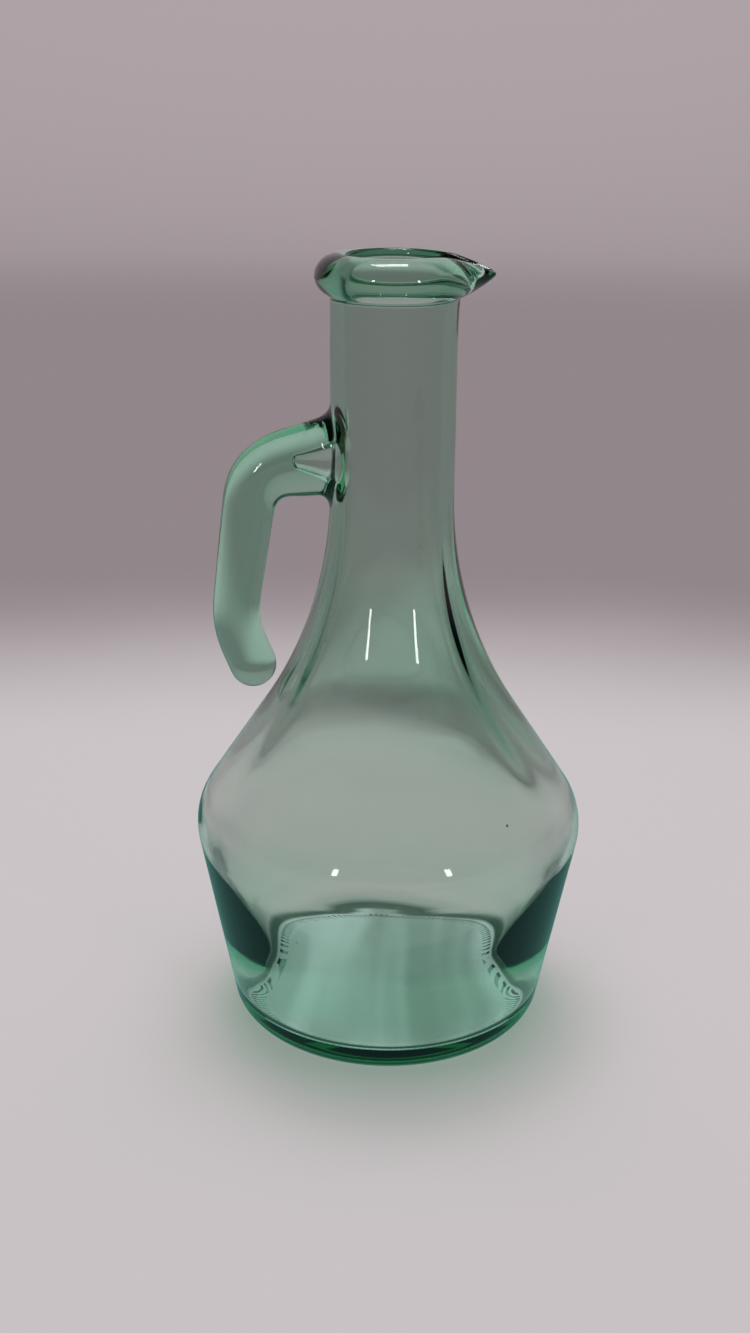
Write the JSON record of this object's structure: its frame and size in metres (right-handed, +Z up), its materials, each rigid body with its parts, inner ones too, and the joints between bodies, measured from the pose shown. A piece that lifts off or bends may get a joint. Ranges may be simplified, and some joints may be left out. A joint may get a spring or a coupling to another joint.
{
  "type": "glass cruet",
  "caption": "Green glass oil cruet with a tapered body, sloping shoulder, long neck, rolled mouth with a pouring lip, and a hooked handle.",
  "frame": {"origin": "centre of the ring that the bottle stands on", "axes": "+Z up along the bottle's axis, +X towards the pouring lip, the handle on the -X side"},
  "size_m": [0.0856, 0.0856, 0.17],
  "materials": {
    "bottle_glass": "clear pale green bottle glass, fire polished"
  },
  "bodies": {
    "root": {"cruet": "bottle_glass"}
  },
  "joints": []
}
